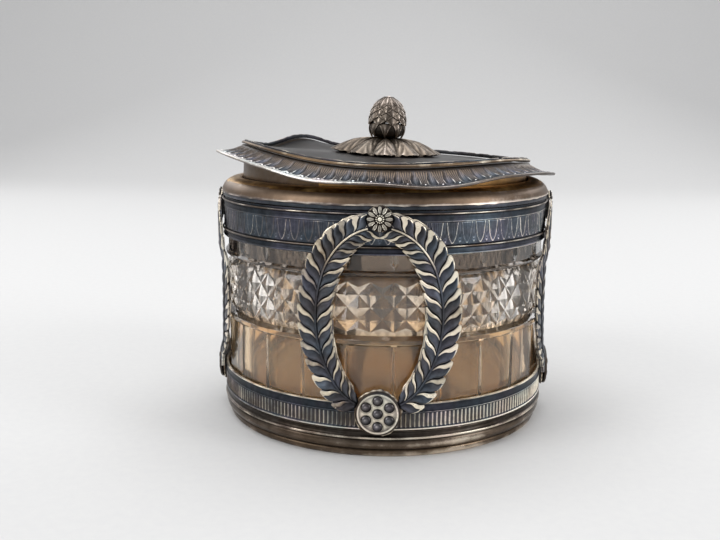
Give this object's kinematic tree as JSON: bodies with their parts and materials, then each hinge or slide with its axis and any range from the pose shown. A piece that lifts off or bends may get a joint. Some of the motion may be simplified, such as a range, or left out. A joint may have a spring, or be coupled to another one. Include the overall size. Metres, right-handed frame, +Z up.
{
  "type": "lidded bonbonniere",
  "caption": "Round sweet box: diamond-cut crystal drum in silver bands tied by laurel wreaths, with a fluted silver lid that lifts off by its bud finial.",
  "frame": {"origin": "on the table under the middle of the foot", "axes": "+Z up along the axis of the drum, -Y towards the front wreath, +X to its right"},
  "size_m": [0.1212, 0.1212, 0.1124],
  "materials": {
    "silver": "old polished silver, tarnished in the recesses",
    "oxidised_silver": "blue-grey oxidised silver with worn bright edges",
    "crystal": "clear cut crystal"
  },
  "bodies": {
    "box": {"foot": "silver", "lower_band": "oxidised_silver", "crystal_drum": "crystal", "upper_band": "oxidised_silver", "lower_fillet": "silver", "upper_fillet": "silver", "shoulder": "silver", "wreath_front": "oxidised_silver", "rosette_front": "silver", "medallion_front": "silver", "wreath_right": "oxidised_silver", "rosette_right": "silver", "medallion_right": "silver", "wreath_back": "oxidised_silver", "rosette_back": "silver", "medallion_back": "silver", "wreath_left": "oxidised_silver", "rosette_left": "silver", "medallion_left": "silver"},
    "lid": {"lid_flange": "oxidised_silver", "lid_wire": "silver", "lid_dome": "silver", "lid_bezel": "silver", "finial_foliage": "silver", "finial_calyx": "silver", "finial_bud": "silver", "finial_nut": "silver"}
  },
  "joints": [
    {"name": "lid_lift", "type": "slide", "parent": "box", "child": "lid", "axis": [0, 0, 1], "range_m": [0, 0.045]}
  ]
}
